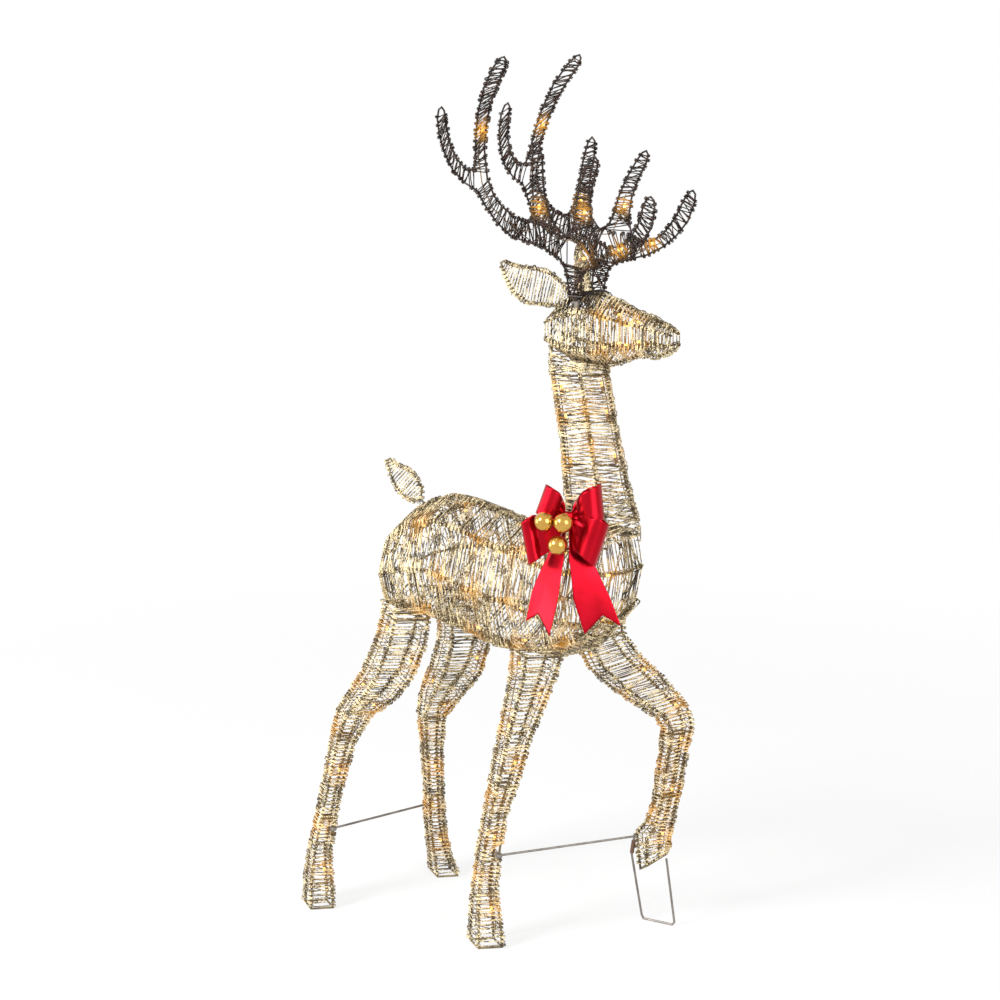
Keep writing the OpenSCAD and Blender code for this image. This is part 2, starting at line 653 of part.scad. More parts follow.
// A bar inside the foot of the tail with the two pegs that slide into the rump
module tail_pegs() {
  color("#8a8378") {
    rod_between(tail_root - [0, tail_bar_y, 0], tail_root + [0, tail_bar_y, 0], tail_bar_r);
    for (s = [-1, 1])
      rod_between(tail_root + [0, s * tail_peg_y, 0] - tail_axis * 33, tail_root + [0, s * tail_peg_y, 0],
        tail_peg_d / 2);
  }
}

module tail_sockets() {
  color("#8a8378") for (s = [-1, 1])
    socket(tail_root + [0, s * tail_peg_y, 0] - tail_axis * 34, tail_axis, tail_peg_d, 26);
}

// Bow
// Reach and front of a loop from the knot over its end and back, for an end at reach l
function loop_line(l) = [
  [9, 3], [l * 0.45, 11], [l * 0.75, 16], [l * 0.95, 11], [l, 0], [l * 0.95, -9], [l * 0.75, -13], [l * 0.45, -9],
  [9, -3]];
function ribbon_ring(p, d, w, h) =
  let (n = cross(d, w) * ribbon_t / 2)
  [p + h * w + n, p - h * w + n, p - h * w - n, p + h * w - n];
function loop_rings(e) =
  let (l = norm([e[0], e[1]]), u = [e[0], e[1]] / l, line = loop_line(l), n = len(line) - 1)
  let (share = [for (k = line) (k[0] - 9) / (l - 9)])
  let (p = [for (i = [0 : n]) bow_point([line[i][0] * u.x, line[i][0] * u.y, line[i][1] + e[5] * share[i]])])
  let (w = unit(bow_point([e[2], e[3], 0]) - bow_mid), half = e[4] * ribbon_w / 2)
  [for (i = [0 : n])
    let (d = unit(p[min(i + 1, n)] - p[max(i - 1, 0)]))
    ribbon_ring(p[i], d, w, half * (0.12 + 0.88 * share[i]))];
function tail_rings(v, turn) =
  let (p = [for (q = v) bow_point(q)], n = len(p) - 1, notch = 16)
  [for (i = [0 : n])
    let (d = unit(p[min(i + 1, n)] - p[max(i - 1, 0)]), flat = unit(bow_right - d * (d * bow_right)))
    let (w = flat * cos(turn) + cross(flat, d) * sin(turn))
    let (h = ribbon_w / 2 * (0.2 + 0.8 * i / n), m = cross(d, w) * ribbon_t / 2)
    let (e = i == n ? notch * d : 0 * d)
    [p[i] + h * w + m + e, p[i] + m, p[i] - h * w + m + e, p[i] - h * w - m + e, p[i] - m, p[i] + h * w - m + e]];

module bow_loop(k) { color("#b01c22") strip(loop_rings(bow_loops[k])); }
module bow_upper_left_loop() { bow_loop(0); }
module bow_upper_right_loop() { bow_loop(1); }
module bow_lower_left_loop() { bow_loop(2); }
module bow_lower_right_loop() { bow_loop(3); }
module bow_left_tail() { color("#b01c22") notched_strip(tail_rings(bow_tails[0], bow_turns[0])); }
module bow_right_tail() { color("#b01c22") notched_strip(tail_rings(bow_tails[1], bow_turns[1])); }
module bow_knot() { color("#9c151c") translate(bow_mid) sphere(r = 10.5, $fn = 64); }

// The tie wire from the knot to the nearest wire of the neck
bow_tie_end = collar(neck_at(752), 240, 0);
module bow_tie() {
  d = unit(bow_tie_end - bow_mid);
  color("#8a8378") rod_between(bow_mid + d * 10.6, bow_tie_end - d * (frame_r + touch), 1.2);
}

module ornament_balls() {
  color("#d8a83c") for (b = balls) translate(bow_point(b)) sphere(d = ball_d, $fn = 64);
}

module ornament_stems() {
  color("#8a8378") for (b = balls) {
    d = unit(bow_point(b) - bow_mid);
    rod_between(bow_mid + d * 10.6, bow_point(b) - d * (ball_d / 2 + touch), 1);
  }
}

// Lights of the body and legs
body_string_x = [-192, -155, -100, -45, 30, 115, 180, 198];
body_bulb_x = [[-122, -12, 75, 150], [-70, -5, 62, 148]];
function body_in(x, a, in) = barrel(body_at(x), a, -in);
function body_string(rails) = [for (j = [0 : len(rails) - 1], k = [0 : len(body_string_x) - 1])
  body_in(body_string_x[j % 2 == 0 ? k : len(body_string_x) - 1 - k], rails[j], string_in)];
body_spots = [for (a = [135, 180, 225, 45, 0, 315], u = body_bulb_x[a % 90 == 0 ? 1 : 0])
  [body_in(u, a, bulb_in), unit(body_in(u + 9, a, bulb_in) - body_in(u - 9, a, bulb_in))]];
// One bulb halfway along each stretch of a leg but the last, at the front and the rear by turns
leg_spots = [for (g = legs, k = [0 : len(g[0]) - 3])
  let (w = leg_ways(g[0]), d = (w[k] + w[k + 1]) / 2, a = k % 2 == 0 ? 180 : 0)
  let (p = leg_inside(g[0], g[1], d, a, leg_string_in), q = leg_inside(g[0], g[1], d + 1, a, leg_string_in))
  let (t = unit(q - p), in = leg_inside(g[0], g[1], d, a, leg_string_in + 1) - p)
  [p + leg_bulb_in * unit(in - t * (in * t)), t]];

module body_light_wire() {
  color("#8b7a58") tubes(concat(
    [body_string([135, 180, 225]), body_string([45, 0, 315])],
    [for (g = legs) leg_string(g[0], g[1])]), string_r);
}

module body_bulb_holders() {
  color("#8b7a58") for (p = concat(body_spots, leg_spots)) holder(p[0], p[1]);
}

module body_bulbs() {
  color("#ffd27a") for (p = concat(body_spots, leg_spots)) bulb(p[0], p[1]);
}

// Lights of the neck and head
neck_string_z = [766, 810, 880, 945, 978];
// The upper run of the head's string stays ahead of the antler sockets
head_upper_x = [184, 215, 255, 283];
head_lower_x = [283, 255, 215, 178, 134, 118];
neck_bulb_z = [[795, 865, 928], [845, 915, 962]];
head_bulb_x = [197, 236];
function neck_in(z, a, in) = collar(neck_at(z), a, -in);
function head_in(x, a, in) = barrel(head_at(x), a, -in);
function neck_string(a, b) = concat(
  [for (z = neck_string_z) neck_in(z, a, string_in)],
  [for (k = [4 : -1 : 0]) neck_in(neck_string_z[k], b, string_in)]);
function head_string(a, b) = concat(
  [for (x = head_upper_x) head_in(x, a, string_in)],
  [for (x = head_lower_x) head_in(x, b, string_in)]);
neck_spots = [for (a = [60, 120, 240, 300], u = neck_bulb_z[a % 180 == 60 ? 1 : 0])
  [neck_in(u, a, bulb_in), unit(neck_in(u + 9, a, bulb_in) - neck_in(u - 9, a, bulb_in))]];
head_spots = [for (a = [30, -30, 150, -150], u = head_bulb_x)
  [head_in(u, a, bulb_in), unit(head_in(u + 9, a, bulb_in) - head_in(u - 9, a, bulb_in))]];

module neck_light_wire() {
  color("#8b7a58") tubes(
    [neck_string(60, 120), neck_string(300, 240), head_string(30, -30), head_string(150, -150)], string_r);
}

module neck_bulb_holders() {
  color("#8b7a58") for (p = concat(neck_spots, head_spots)) holder(p[0], p[1]);
}

module neck_bulbs() {
  color("#ffd27a") for (p = concat(neck_spots, head_spots)) bulb(p[0], p[1]);
}

module placed() {
  translate(-centre) children();
}

placed() body_rails();
placed() body_hoops();
placed() body_winding();
placed() right_rear_leg_frame();
placed() left_rear_leg_frame();
placed() right_front_leg_frame();
placed() left_front_leg_frame();
placed() right_rear_leg_winding();
placed() left_rear_leg_winding();
placed() right_front_leg_winding();
placed() left_front_leg_winding();
placed() rear_brace();
placed() front_brace();
placed() prop_sleeve();
placed() hoof_prop();
placed() neck_frame();
placed() neck_winding();
placed() neck_pegs();
placed() neck_sockets();
placed() head_frame();
placed() head_winding();
placed() right_ear_frame();
placed() left_ear_frame();
placed() right_ear_winding();
placed() left_ear_winding();
placed() antler_sockets();
placed() right_antler_frame();
placed() left_antler_frame();
placed() right_antler_winding();
placed() left_antler_winding();
placed() right_antler_peg();
placed() left_antler_peg();
placed() right_antler_light_wire();
placed() left_antler_light_wire();
placed() right_antler_holders();
placed() left_antler_holders();
placed() right_antler_bulbs();
placed() left_antler_bulbs();
placed() tail_frame();
placed() tail_winding();
placed() tail_pegs();
placed() tail_sockets();
placed() bow_upper_left_loop();
placed() bow_upper_right_loop();
placed() bow_lower_left_loop();
placed() bow_lower_right_loop();
placed() bow_left_tail();
placed() bow_right_tail();
placed() bow_knot();
placed() bow_tie();
placed() ornament_balls();
placed() ornament_stems();
placed() body_light_wire();
placed() body_bulb_holders();
placed() body_bulbs();
placed() neck_light_wire();
placed() neck_bulb_holders();
placed() neck_bulbs();
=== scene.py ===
import json
import math
import random

import bpy
import numpy as np
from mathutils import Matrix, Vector


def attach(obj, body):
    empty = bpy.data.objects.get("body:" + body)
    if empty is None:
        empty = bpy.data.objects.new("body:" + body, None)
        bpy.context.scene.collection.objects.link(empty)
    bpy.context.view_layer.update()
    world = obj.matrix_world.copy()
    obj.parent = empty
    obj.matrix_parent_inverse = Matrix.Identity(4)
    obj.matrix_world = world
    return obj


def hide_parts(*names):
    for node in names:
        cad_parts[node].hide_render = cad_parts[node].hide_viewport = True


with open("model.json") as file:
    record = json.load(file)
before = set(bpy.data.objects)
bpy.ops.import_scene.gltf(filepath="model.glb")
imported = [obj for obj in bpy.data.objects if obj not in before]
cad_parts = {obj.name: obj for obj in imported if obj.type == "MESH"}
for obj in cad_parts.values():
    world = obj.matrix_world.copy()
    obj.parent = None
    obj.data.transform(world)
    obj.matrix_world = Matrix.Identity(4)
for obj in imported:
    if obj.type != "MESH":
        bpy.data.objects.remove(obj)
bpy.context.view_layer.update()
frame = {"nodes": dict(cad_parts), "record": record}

# Sizes are in millimetres and in the deer's own frame, whose mid-plane is Y = 0, up to place().
MM = 0.001
CENTRE = np.array([-16.35, -5.23, 0.0])
FRAME_R = 2.0
ANTLER_R = 1.6
THREAD_R = 1.0
# Finer thread is wound on the ears, the tail and the antlers. A thread is a tube with this many sides.
LEAF_THREAD_R, ANTLER_THREAD_R = 0.9, 0.95
THREAD_SIDES = 5
# How far the painted light of a bulb reaches on the thread round it
GOLD_REACH, ANTLER_REACH = 17.0, 10.0
LEG_ROUNDNESS = 0.8
BARREL_POWER = 0.85
FOOT_TRACK, HIP_TRACK, HIP_HEIGHT = 244.0, 144.0, 550.0
# Height over which the thread above a leg's top station closes in to the middle
HIP_TAPER = 110.0
# A foot ring of six-sided wire lies on the ground, under the leg's own wires
FOOT_RING_R, TOUCH = 1.75, 0.1
FOOT_TOP = 2 * FOOT_RING_R * math.cos(math.pi / 6) + TOUCH


def place(points):
    return (np.asarray(points, float) - CENTRE) * MM


def unit(v):
    v = np.asarray(v, float)
    return v / np.linalg.norm(v)


# Outlines of the wire frame: the same stations that the solids follow
BODY = np.array([
    [-222, 655, 560, 48], [-200, 695, 548, 78], [-155, 735, 538, 98], [-100, 754, 535, 106],
    [-45, 745, 521, 110], [30, 722, 500, 110], [115, 727, 501, 108], [180, 735, 525, 100],
    [226, 728, 580, 75]], float)
HEAD = np.array([
    [91, 1081, 1036, 34], [134, 1113, 1010, 44], [178, 1121, 1003, 46], [215, 1108, 1010, 42],
    [255, 1092, 1025, 32], [290, 1081, 1026, 25], [316, 1068, 1040, 15]], float)
NECK = np.array([
    [728, 129, 254, 69, 16], [748, 127, 250, 66, 16], [810, 118, 231, 58, 7], [880, 112, 212, 54, 0],
    [945, 100, 200, 51, 0], [993, 89, 191, 48, 0], [1032, 90, 189, 43, 0]], float)
NECK_BASE, NECK_TOP = 748.0, 993.0
RIGHT_REAR = np.array([
    [-202, 548, -112, 548], [-212, 505, -117, 505], [-238, 440, -142, 440], [-264, 400, -175, 400],
    [-289, 362, -225, 362], [-300, 310, -255, 310], [-318, 205, -283, 205], [-340, 100, -298, 100],
    [-346, 45, -291, 45], [-347, FOOT_TOP, -286, FOOT_TOP]], float)
LEFT_REAR = np.array([
    [-178, 545, -79, 545], [-180, 475, -80, 475], [-200, 415, -100, 415], [-226, 362, -145, 362],
    [-235, 322, -181, 322], [-232, 260, -192, 260], [-231, 180, -195, 180], [-234, 100, -196, 100],
    [-231, 45, -188, 45], [-230, FOOT_TOP, -172, FOOT_TOP]], float)
RIGHT_FRONT = np.array([
    [58, 520, 150, 520], [58, 480, 138, 480], [50, 425, 118, 425], [39, 360, 94, 360],
    [29, 300, 80, 300], [19, 230, 57, 230], [8, 155, 49, 155], [2, 95, 46, 95],
    [0, 45, 58, 45], [0, FOOT_TOP, 64, FOOT_TOP]], float)
LEFT_FRONT = np.array([
    [100, 505, 188, 530], [126, 457, 220, 491], [162, 431, 255, 465], [208, 407, 287, 434],
    [249, 389, 309, 410], [264, 368, 316, 380], [259, 326, 305, 338], [250, 276, 296, 288],
    [243, 230, 285, 238], [230, 192, 272, 184], [206, 160, 268, 160], [211, 95, 260, 131]], float)
TAIL = np.array([
    [-176, 737, -170.9, 741.2], [-190, 737, -167, 756], [-202, 741.5, -174.5, 770.5],
    [-213, 749, -184, 781.5], [-224, 762, -198, 791], [-232, 778, -213, 793.8], [-236.5, 793, -225, 797],
    [-238.3, 803.5, -232.8, 806.5]], float)

ANTLER_FOOT = np.array([154.0, 38.0, 1117.0])
ANTLER_LEAN = math.radians(13)
# Each branch of an antler: rear edge X and height, then front edge X and height, from root to tip
ANTLER_BRANCHES = {
    "stem": [[143, 6, 165, 6], [142, 25, 166, 25], [141, 46, 170, 42], [134, 62, 185, 53]],
    "beam": [
        [132, 64, 145, 104], [115, 75, 122, 114], [98, 86, 96, 122], [70, 91, 74, 124], [43, 100, 55, 132],
        [20, 122, 35, 148], [2, 150, 22, 165], [-10, 174, 13, 195]],
    "rear tine": [
        [-10, 174, -8, 208], [-30, 185, -24, 207], [-50, 205, -41, 226], [-62, 232, -51, 255],
        [-68, 262, -53, 285], [-67, 296, -53, 303]],
    "main tine": [
        [-8, 205, 13, 200], [-5, 225, 14, 245], [0, 260, 22, 280], [9, 300, 35, 318], [27, 345, 54, 352],
        [49, 378, 70, 377], [63, 391, 73, 388]],
    "middle tine": [
        [88, 130, 124, 132], [93, 155, 117, 155], [97, 190, 116, 190], [100, 225, 119, 230],
        [106, 251, 117, 250]],
    "front tine": [
        [160, 112, 198, 114], [168, 135, 195, 130], [173, 160, 197, 160], [183, 190, 205, 190],
        [198, 220, 217, 220], [208, 234, 217, 230]],
    "brow tine": [
        [160, 100, 186, 54], [205, 97, 205, 58], [224, 87, 235, 66], [245, 91, 255, 76], [262, 103, 275, 91],
        [280, 130, 294, 112], [291, 158, 310, 148], [300, 172, 311, 166]],
}
# The broad foot of an antler, where its branches part
ANTLER_PALM = [
    (143, 6), (142, 25), (141, 46), (132, 64), (115, 75), (98, 86), (70, 91), (43, 100), (55, 132),
    (74, 124), (88, 130), (93, 150), (117, 150), (128, 122), (145, 104), (160, 112), (170, 140), (196, 140),
    (195, 125), (205, 97), (222, 87), (235, 66), (205, 58), (185, 53), (170, 42), (166, 25), (165, 6)]
EAR_ROOT = np.array([131.0, 46.0, 1124.0])
EAR_LONG = np.array([-0.54, 0.70, 0.468])
EAR_WIDE = np.array([-0.374, 0.307, -0.875])
EAR = np.array([
    [-20, 17, -20, 1], [-6, 20, 6, -14], [16, 29, 31, -19], [43, 39, 61, -14], [72, 35, 82, -6],
    [94, 22, 100, -2], [113, 7, 115, -2]], float)

# Where a brace holds a leg wire or swings past it, the thread leaves it bare: wire angle, low and high Z
RIGHT_REAR_BARE = [(0, 138.0, 155.0), (90, 137.0, 150.0)]
RIGHT_FRONT_BARE = [(0, 153.0, 184.0)]
LEFT_REAR_BARE = [(180, 125.0, 139.0)]

BOW_MID = np.array([172.0, -93.0, 764.0])
BOW_RIGHT = np.array([0.883, 0.469, 0.0])
BOW_FRONT = unit([0.466, -0.877, 0.12])
BOW_UP = np.cross(BOW_FRONT, BOW_RIGHT)
RIBBON_W = 60.0


# Shader nodes
class Value:
    """A socket in a finish. Sums on it add Math nodes."""

    def __init__(self, finish, socket):
        self.finish, self.socket = finish, socket

    def sum(self, operation, a, b):
        return self.finish.node("ShaderNodeMath", {"operation": operation}, {0: a, 1: b})

    def __add__(self, b):
        return self.sum("ADD", self, b)

    def __radd__(self, a):
        return self.sum("ADD", a, self)

    def __sub__(self, b):
        return self.sum("SUBTRACT", self, b)

    def __rsub__(self, a):
        return self.sum("SUBTRACT", a, self)

    def __mul__(self, b):
        return self.sum("MULTIPLY", self, b)

    def __rmul__(self, a):
        return self.sum("MULTIPLY", a, self)


class Finish:
    """A material, with one method that makes any node."""

    def __init__(self, name, tree=None):
        self.material = None
        if tree is None:
            self.material = bpy.data.materials.new(name)
            self.material.use_nodes = True
            tree = self.material.node_tree
        self.tree = tree
        tree.nodes.clear()

    def node(self, kind, settings=None, sockets=None, out=0):
        n = self.tree.nodes.new(kind)
        for key, value in (settings or {}).items():
            setattr(n, key, value)
        for key, value in (sockets or {}).items():
            if isinstance(value, Value):
                self.tree.links.new(value.socket, n.inputs[key])
            else:
                n.inputs[key].default_value = value
        return Value(self, n.outputs[out]) if n.outputs else None

    def where(self):
        return self.node("ShaderNodeTexCoord", out="Object")

    def noise(self, scale, detail=2.0, rough=0.5):
        sockets = {"Scale": scale, "Detail": detail, "Roughness": rough, "Vector": self.where()}
        return self.node("ShaderNodeTexNoise", {"noise_dimensions": "3D"}, sockets)

    def ramp(self, value, low, high):
        sockets = {"Value": value, "From Min": low, "From Max": high, "To Min": 0.0, "To Max": 1.0}
        return self.node("ShaderNodeMapRange", {"clamp": True}, sockets)

    def mix(self, factor, a, b):
        return self.node("ShaderNodeMix", {"data_type": "RGBA"}, {0: factor, 6: a, 7: b}, out=2)

    def mark(self, name):
        return self.node("ShaderNodeAttribute", {"attribute_name": name}, out="Fac")

    def bump(self, height, strength, distance):
        sockets = {"Height": height, "Strength": strength, "Distance": distance}
        return self.node("ShaderNodeBump", None, sockets)

    def surface(self, **sockets):
        named = {key.replace("_", " "): value for key, value in sockets.items()}
        shader = self.node("ShaderNodeBsdfPrincipled", None, named)
        self.node("ShaderNodeOutputMaterial", None, {"Surface": shader})
        return self.material


def rgb(r, g, b):
    return (r, g, b, 1.0)


WHITE = rgb(1.0, 1.0, 1.0)
BLACK = rgb(0.0, 0.0, 0.0)
AMBER = rgb(1.0, 0.46, 0.06)
# Threads of the ribbon's weave along and across it, in radians per metre
WEFT, WARP = 9000.0, 5200.0


def thread_finish(name, dark, light, metal, speck, shine):
    """Shiny thread: two strands twisted together, with bright specks, and painted amber light close to a
    bulb.
    """
    f = Finish(name)
    blotch = f.noise(55.0, 2.0)
    twist = f.noise(420.0, 2.0)
    glint = f.ramp(f.noise(1400.0, 1.0), 0.62 - speck, 0.70)
    tone = f.ramp(0.45 * blotch + 0.55 * twist, 0.46, 0.55)
    painted_bulb_light = f.mark("painted_bulb_light")
    colour = f.mix(tone, dark, light)
    colour = f.mix(glint * 0.55, colour, rgb(0.95, 0.90, 0.76))
    # Painted light: near a bulb the thread's colour is pushed to amber and it emits amber, standing in for
    # the bulb's light on it.
    colour = f.mix(painted_bulb_light * 0.92, colour, rgb(0.66, 0.30, 0.015))
    lit = f.mix(painted_bulb_light, BLACK, AMBER)
    rough = 0.38 - 0.16 * glint
    return f.surface(
        Base_Color=colour, Metallic=metal, Roughness=rough, Specular_IOR_Level=shine, Emission_Color=lit,
        Emission_Strength=0.40, Normal=f.bump(twist, 0.5, 0.0006))


def wire_finish(name, dark, light, metal=0.35, rough=0.42):
    """Painted or coated wire with thin scuffs and a little dirt."""
    f = Finish(name)
    dirt = f.noise(38.0, 4.0, 0.6)
    scuff = f.ramp(f.noise(310.0, 3.0, 0.7), 0.60, 0.72)
    colour = f.mix(f.ramp(dirt, 0.35, 0.68), dark, light)
    colour = f.mix(scuff * 0.5, colour, rgb(0.62, 0.56, 0.46))
    return f.surface(
        Base_Color=colour, Metallic=metal, Roughness=rough - 0.10 * scuff + 0.16 * dirt,
        Normal=f.bump(dirt, 0.25, 0.0004))


def plastic_finish(name, dark, light):
    f = Finish(name)
    grain = f.noise(900.0, 3.0)
    stain = f.noise(60.0, 3.0)
    colour = f.mix(f.ramp(stain, 0.34, 0.68), dark, light)
    return f.surface(
        Base_Color=colour, Roughness=0.42 + 0.2 * grain, Normal=f.bump(grain, 0.3, 0.0003))


def bulb_finish():
    f = Finish("bulb")
    swirl = f.noise(180.0, 2.0)
    heart = f.mix(f.ramp(swirl, 0.3, 0.7), rgb(1.0, 0.52, 0.09), rgb(1.0, 0.74, 0.26))
    return f.surface(
        Base_Color=heart, Roughness=0.12 + 0.1 * swirl, Emission_Color=heart, Emission_Strength=1.2,
        Coat_Weight=0.6)


def ribbon_finish():
    """Red satin: a fine cross weave, and a soft sheen across it."""
    f = Finish("ribbon")
    place_in = f.node("ShaderNodeUVMap", {"uv_map": "ribbon"})
    apart = f.node("ShaderNodeSeparateXYZ", None, {"Vector": place_in})
    along = Value(f, apart.socket.node.outputs["Y"])
    across = Value(f, apart.socket.node.outputs["X"])
    weft = f.node("ShaderNodeMath", {"operation": "SINE"}, {0: along * WEFT})
    warp = f.node("ShaderNodeMath", {"operation": "SINE"}, {0: across * WARP})
    weave = 0.5 + 0.32 * weft + 0.18 * warp
    cloud = f.noise(26.0, 3.0)
    colour = f.mix(f.ramp(cloud, 0.3, 0.7), rgb(0.37, 0.001, 0.008), rgb(0.47, 0.003, 0.015))
    colour = f.mix(weave * 0.14, colour, rgb(0.60, 0.012, 0.025))
    return f.surface(
        Base_Color=colour, Metallic=0.92, Roughness=0.26 + 0.10 * weave, Normal=f.bump(weave, 0.12, 0.0002))


def ball_finish():
    """Bright lacquered gold with fine swirls and a few dull marks."""
    f = Finish("gold_ball")
    swirl = f.noise(700.0, 3.0, 0.6)
    dull = f.ramp(f.noise(95.0, 4.0), 0.52, 0.74)
    colour = f.mix(dull, rgb(0.62, 0.36, 0.08), rgb(0.48, 0.25, 0.045))
    return f.surface(
        Base_Color=colour, Metallic=0.95, Roughness=0.13 + 0.06 * swirl + 0.10 * dull,
        Normal=f.bump(swirl, 0.08, 0.0002))


FINISHES = {
    "frame_wire": wire_finish("frame_wire", rgb(0.075, 0.052, 0.022), rgb(0.34, 0.26, 0.13), metal=0.5),
    "gold_thread": thread_finish(
        "gold_thread", rgb(0.038, 0.017, 0.002), rgb(1.0, 0.83, 0.50), metal=0.12, speck=0.05, shine=0.12),
    "antler_wire": wire_finish(
        "antler_wire", rgb(0.010, 0.006, 0.005), rgb(0.034, 0.020, 0.016), metal=0.15),
    "antler_thread": thread_finish(
        "antler_thread", rgb(0.004, 0.0018, 0.0012), rgb(0.046, 0.021, 0.013), metal=0.0, speck=-0.05,
        shine=0.15),
    "rod": wire_finish("rod", rgb(0.16, 0.14, 0.125), rgb(0.30, 0.27, 0.24), metal=0.5),
    "sleeve": plastic_finish("sleeve", rgb(0.10, 0.050, 0.028), rgb(0.19, 0.10, 0.055)),
    "plain_steel": wire_finish(
        "plain_steel", rgb(0.22, 0.20, 0.17), rgb(0.45, 0.42, 0.37), metal=0.9, rough=0.34),
    "light_wire": plastic_finish("light_wire", rgb(0.16, 0.095, 0.045), rgb(0.30, 0.19, 0.095)),
    "bulb_holder": plastic_finish("bulb_holder", rgb(0.24, 0.12, 0.05), rgb(0.40, 0.22, 0.10)),
    "bulb": bulb_finish(),
    "ribbon": ribbon_finish(),
    "gold_ball": ball_finish(),
}


# Meshes
def add_piece(name, me, slot, body, *nodes):
    """A new piece in its finish, riding on its body in place of the nodes that it stands for."""
    me.materials.append(FINISHES[slot])
    piece = bpy.data.objects.new(name, me)
    bpy.context.scene.collection.objects.link(piece)
    if nodes:
        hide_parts(*nodes)
    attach(piece, body)
    return piece


def islands(node):
    """Middles of the separate solids in a node, in metres."""
    me = frame["nodes"][node].data
    first = list(range(len(me.vertices)))

    def top(i):
        while first[i] != i:
            first[i] = first[first[i]]
            i = first[i]
        return i

    for e in me.edges:
        a, b = top(e.vertices[0]), top(e.vertices[1])
        first[a] = b
    groups = {}
    for v in me.vertices:
        groups.setdefault(top(v.index), []).append(v.co)
    return np.array([sum(g, Vector()) / len(g) for g in groups.values()])


def ring_frames(points):
    """A direction across the path at each point, carried along it without twist."""
    ahead = np.empty_like(points)
    ahead[1:-1] = points[2:] - points[:-2]
    ahead[0], ahead[-1] = points[1] - points[0], points[-1] - points[-2]
    ahead /= np.linalg.norm(ahead, axis=1)[:, None]
    e = np.cross(ahead[0], (0, 0, 1) if abs(ahead[0][2]) < 0.8 else (1, 0, 0))
    across = np.empty_like(points)
    for i, t in enumerate(ahead):
        e = e - t * (e @ t)
        e /= math.sqrt(e @ e)
        across[i] = e
    return across, np.cross(ahead, across)


def tubes(name, paths, radius, slot, body, nodes=(), bulbs=(), reach=GOLD_REACH):
    """One mesh of round threads along paths, with how strongly the bulbs' painted light falls on each point.
    """
    verts, faces, start, sides = [], [], 0, THREAD_SIDES
    turn = np.arange(sides) * 2 * math.pi / sides
    for path in paths:
        p = np.asarray(path, float)
        e, w = ring_frames(p)
        rings = p[:, None] + radius * (
            np.cos(turn)[None, :, None] * e[:, None] + np.sin(turn)[None, :, None] * w[:, None])
        n = len(p)
        i = np.arange(n - 1)[:, None] * sides
        k = np.arange(sides)[None, :]
        m = (k + 1) % sides
        quads = np.stack([i + k, i + m, i + sides + m, i + sides + k], -1).reshape(-1, 4) + start
        faces.extend(quads.tolist())
        faces.append([start + s for s in range(sides - 1, -1, -1)])
        faces.append([start + (n - 1) * sides + s for s in range(sides)])
        verts.append(rings.reshape(-1, 3))
        start += n * sides
    me = bpy.data.meshes.new(name)
    spots = place(np.concatenate(verts))
    me.from_pydata(spots.tolist(), [], faces)
    me.shade_smooth()
    # Painted light: each point's share of the nearest bulb's light, which the finish paints on as amber
    # colour and glow.
    painted_bulb_light = np.zeros(len(spots))
    for b in bulbs:
        painted_bulb_light = np.maximum(painted_bulb_light, np.exp(-(np.linalg.norm(spots - b, axis=1) / (reach * MM)) ** 2))
    me.attributes.new("painted_bulb_light", "FLOAT", "POINT").data.foreach_set("value", painted_bulb_light)
    return add_piece(name, me, slot, body, *nodes)


# Wires of the frame: each gives a point and an outward direction at a distance
def bulge(c):
    return math.copysign(abs(c) ** BARREL_POWER, c)


def station(table, ways, d):
    return [np.interp(d, ways, table[:, c]) for c in range(table.shape[1])]


def barrel_wire(table, angle):
    a = math.radians(angle)
    y, z = bulge(math.cos(a)), bulge(math.sin(a))

    def wire(d):
        x, high, low, half = station(table, table[:, 0], d)
        return np.array([x, half * y, (high + low) / 2 + (high - low) / 2 * z]), np.array([0.0, y, z])

    return wire


def collar_wire(angle):
    """A neck wire, whose ends slant: the front ends lower than the back at the throat and at the chest."""
    a = math.radians(angle)
    c, s = math.cos(a), math.sin(a)

    def wire(d):
        z, back, front, half, dip = station(NECK, NECK[:, 0], d)
        over, under = max(0.0, z - NECK_TOP), max(0.0, NECK_BASE - z)
        z = z - over * (0.4 + 0.4 * c) - dip * s * s - under * (0.5 * c + 0.4 * c * c - 0.2)
        p = [(back + front) / 2 + (front - back) / 2 * c, half * s, z]
        return np.array(p), np.array([c, s, 0.0])

    return wire


def way_along(table):
    middle = (table[:, :2] + table[:, 2:]) / 2
    return np.concatenate([[0.0], np.cumsum(np.linalg.norm(np.diff(middle, axis=0), axis=1))])


def leg_wire(table, side, angle):
    ways = way_along(table)
    a = math.radians(angle)

    def wire(d):
        rx, rz, fx, fz = station(table, ways, d)
        rise = max(0.0, -d)
        mid, half = np.array([rx + fx, rz + fz]) / 2, np.array([fx - rx, fz - rz]) / 2
        length = np.linalg.norm(half)
        u = half / length
        across = side * (FOOT_TRACK - (FOOT_TRACK - HIP_TRACK) * mid[1] / HIP_HEIGHT) / 2
        y = across + LEG_ROUNDNESS * length * math.sin(a)
        y += (across - y) * rise / HIP_TAPER
        out = [u[0] * math.cos(a), math.sin(a), u[1] * math.cos(a)]
        p = [mid[0] + u[0] * length * math.cos(a), y, mid[1] + u[1] * length * math.cos(a) + rise]
        return np.array(p), np.array(out)

    return wire


def band_wires(table, lay):
    """The two edge wires of a flat branch, lay being where a point of its plane goes."""
    table = np.asarray(table, float)
    ways = way_along(table)

    def edge(first):
        def wire(d):
            s = station(table, ways, d)
            p, q = lay(s[0], s[1]), lay(s[2], s[3])
            return (p, unit(p - q)) if first else (q, unit(q - p))

        return wire

    return [edge(True), edge(False)], ways[-1]


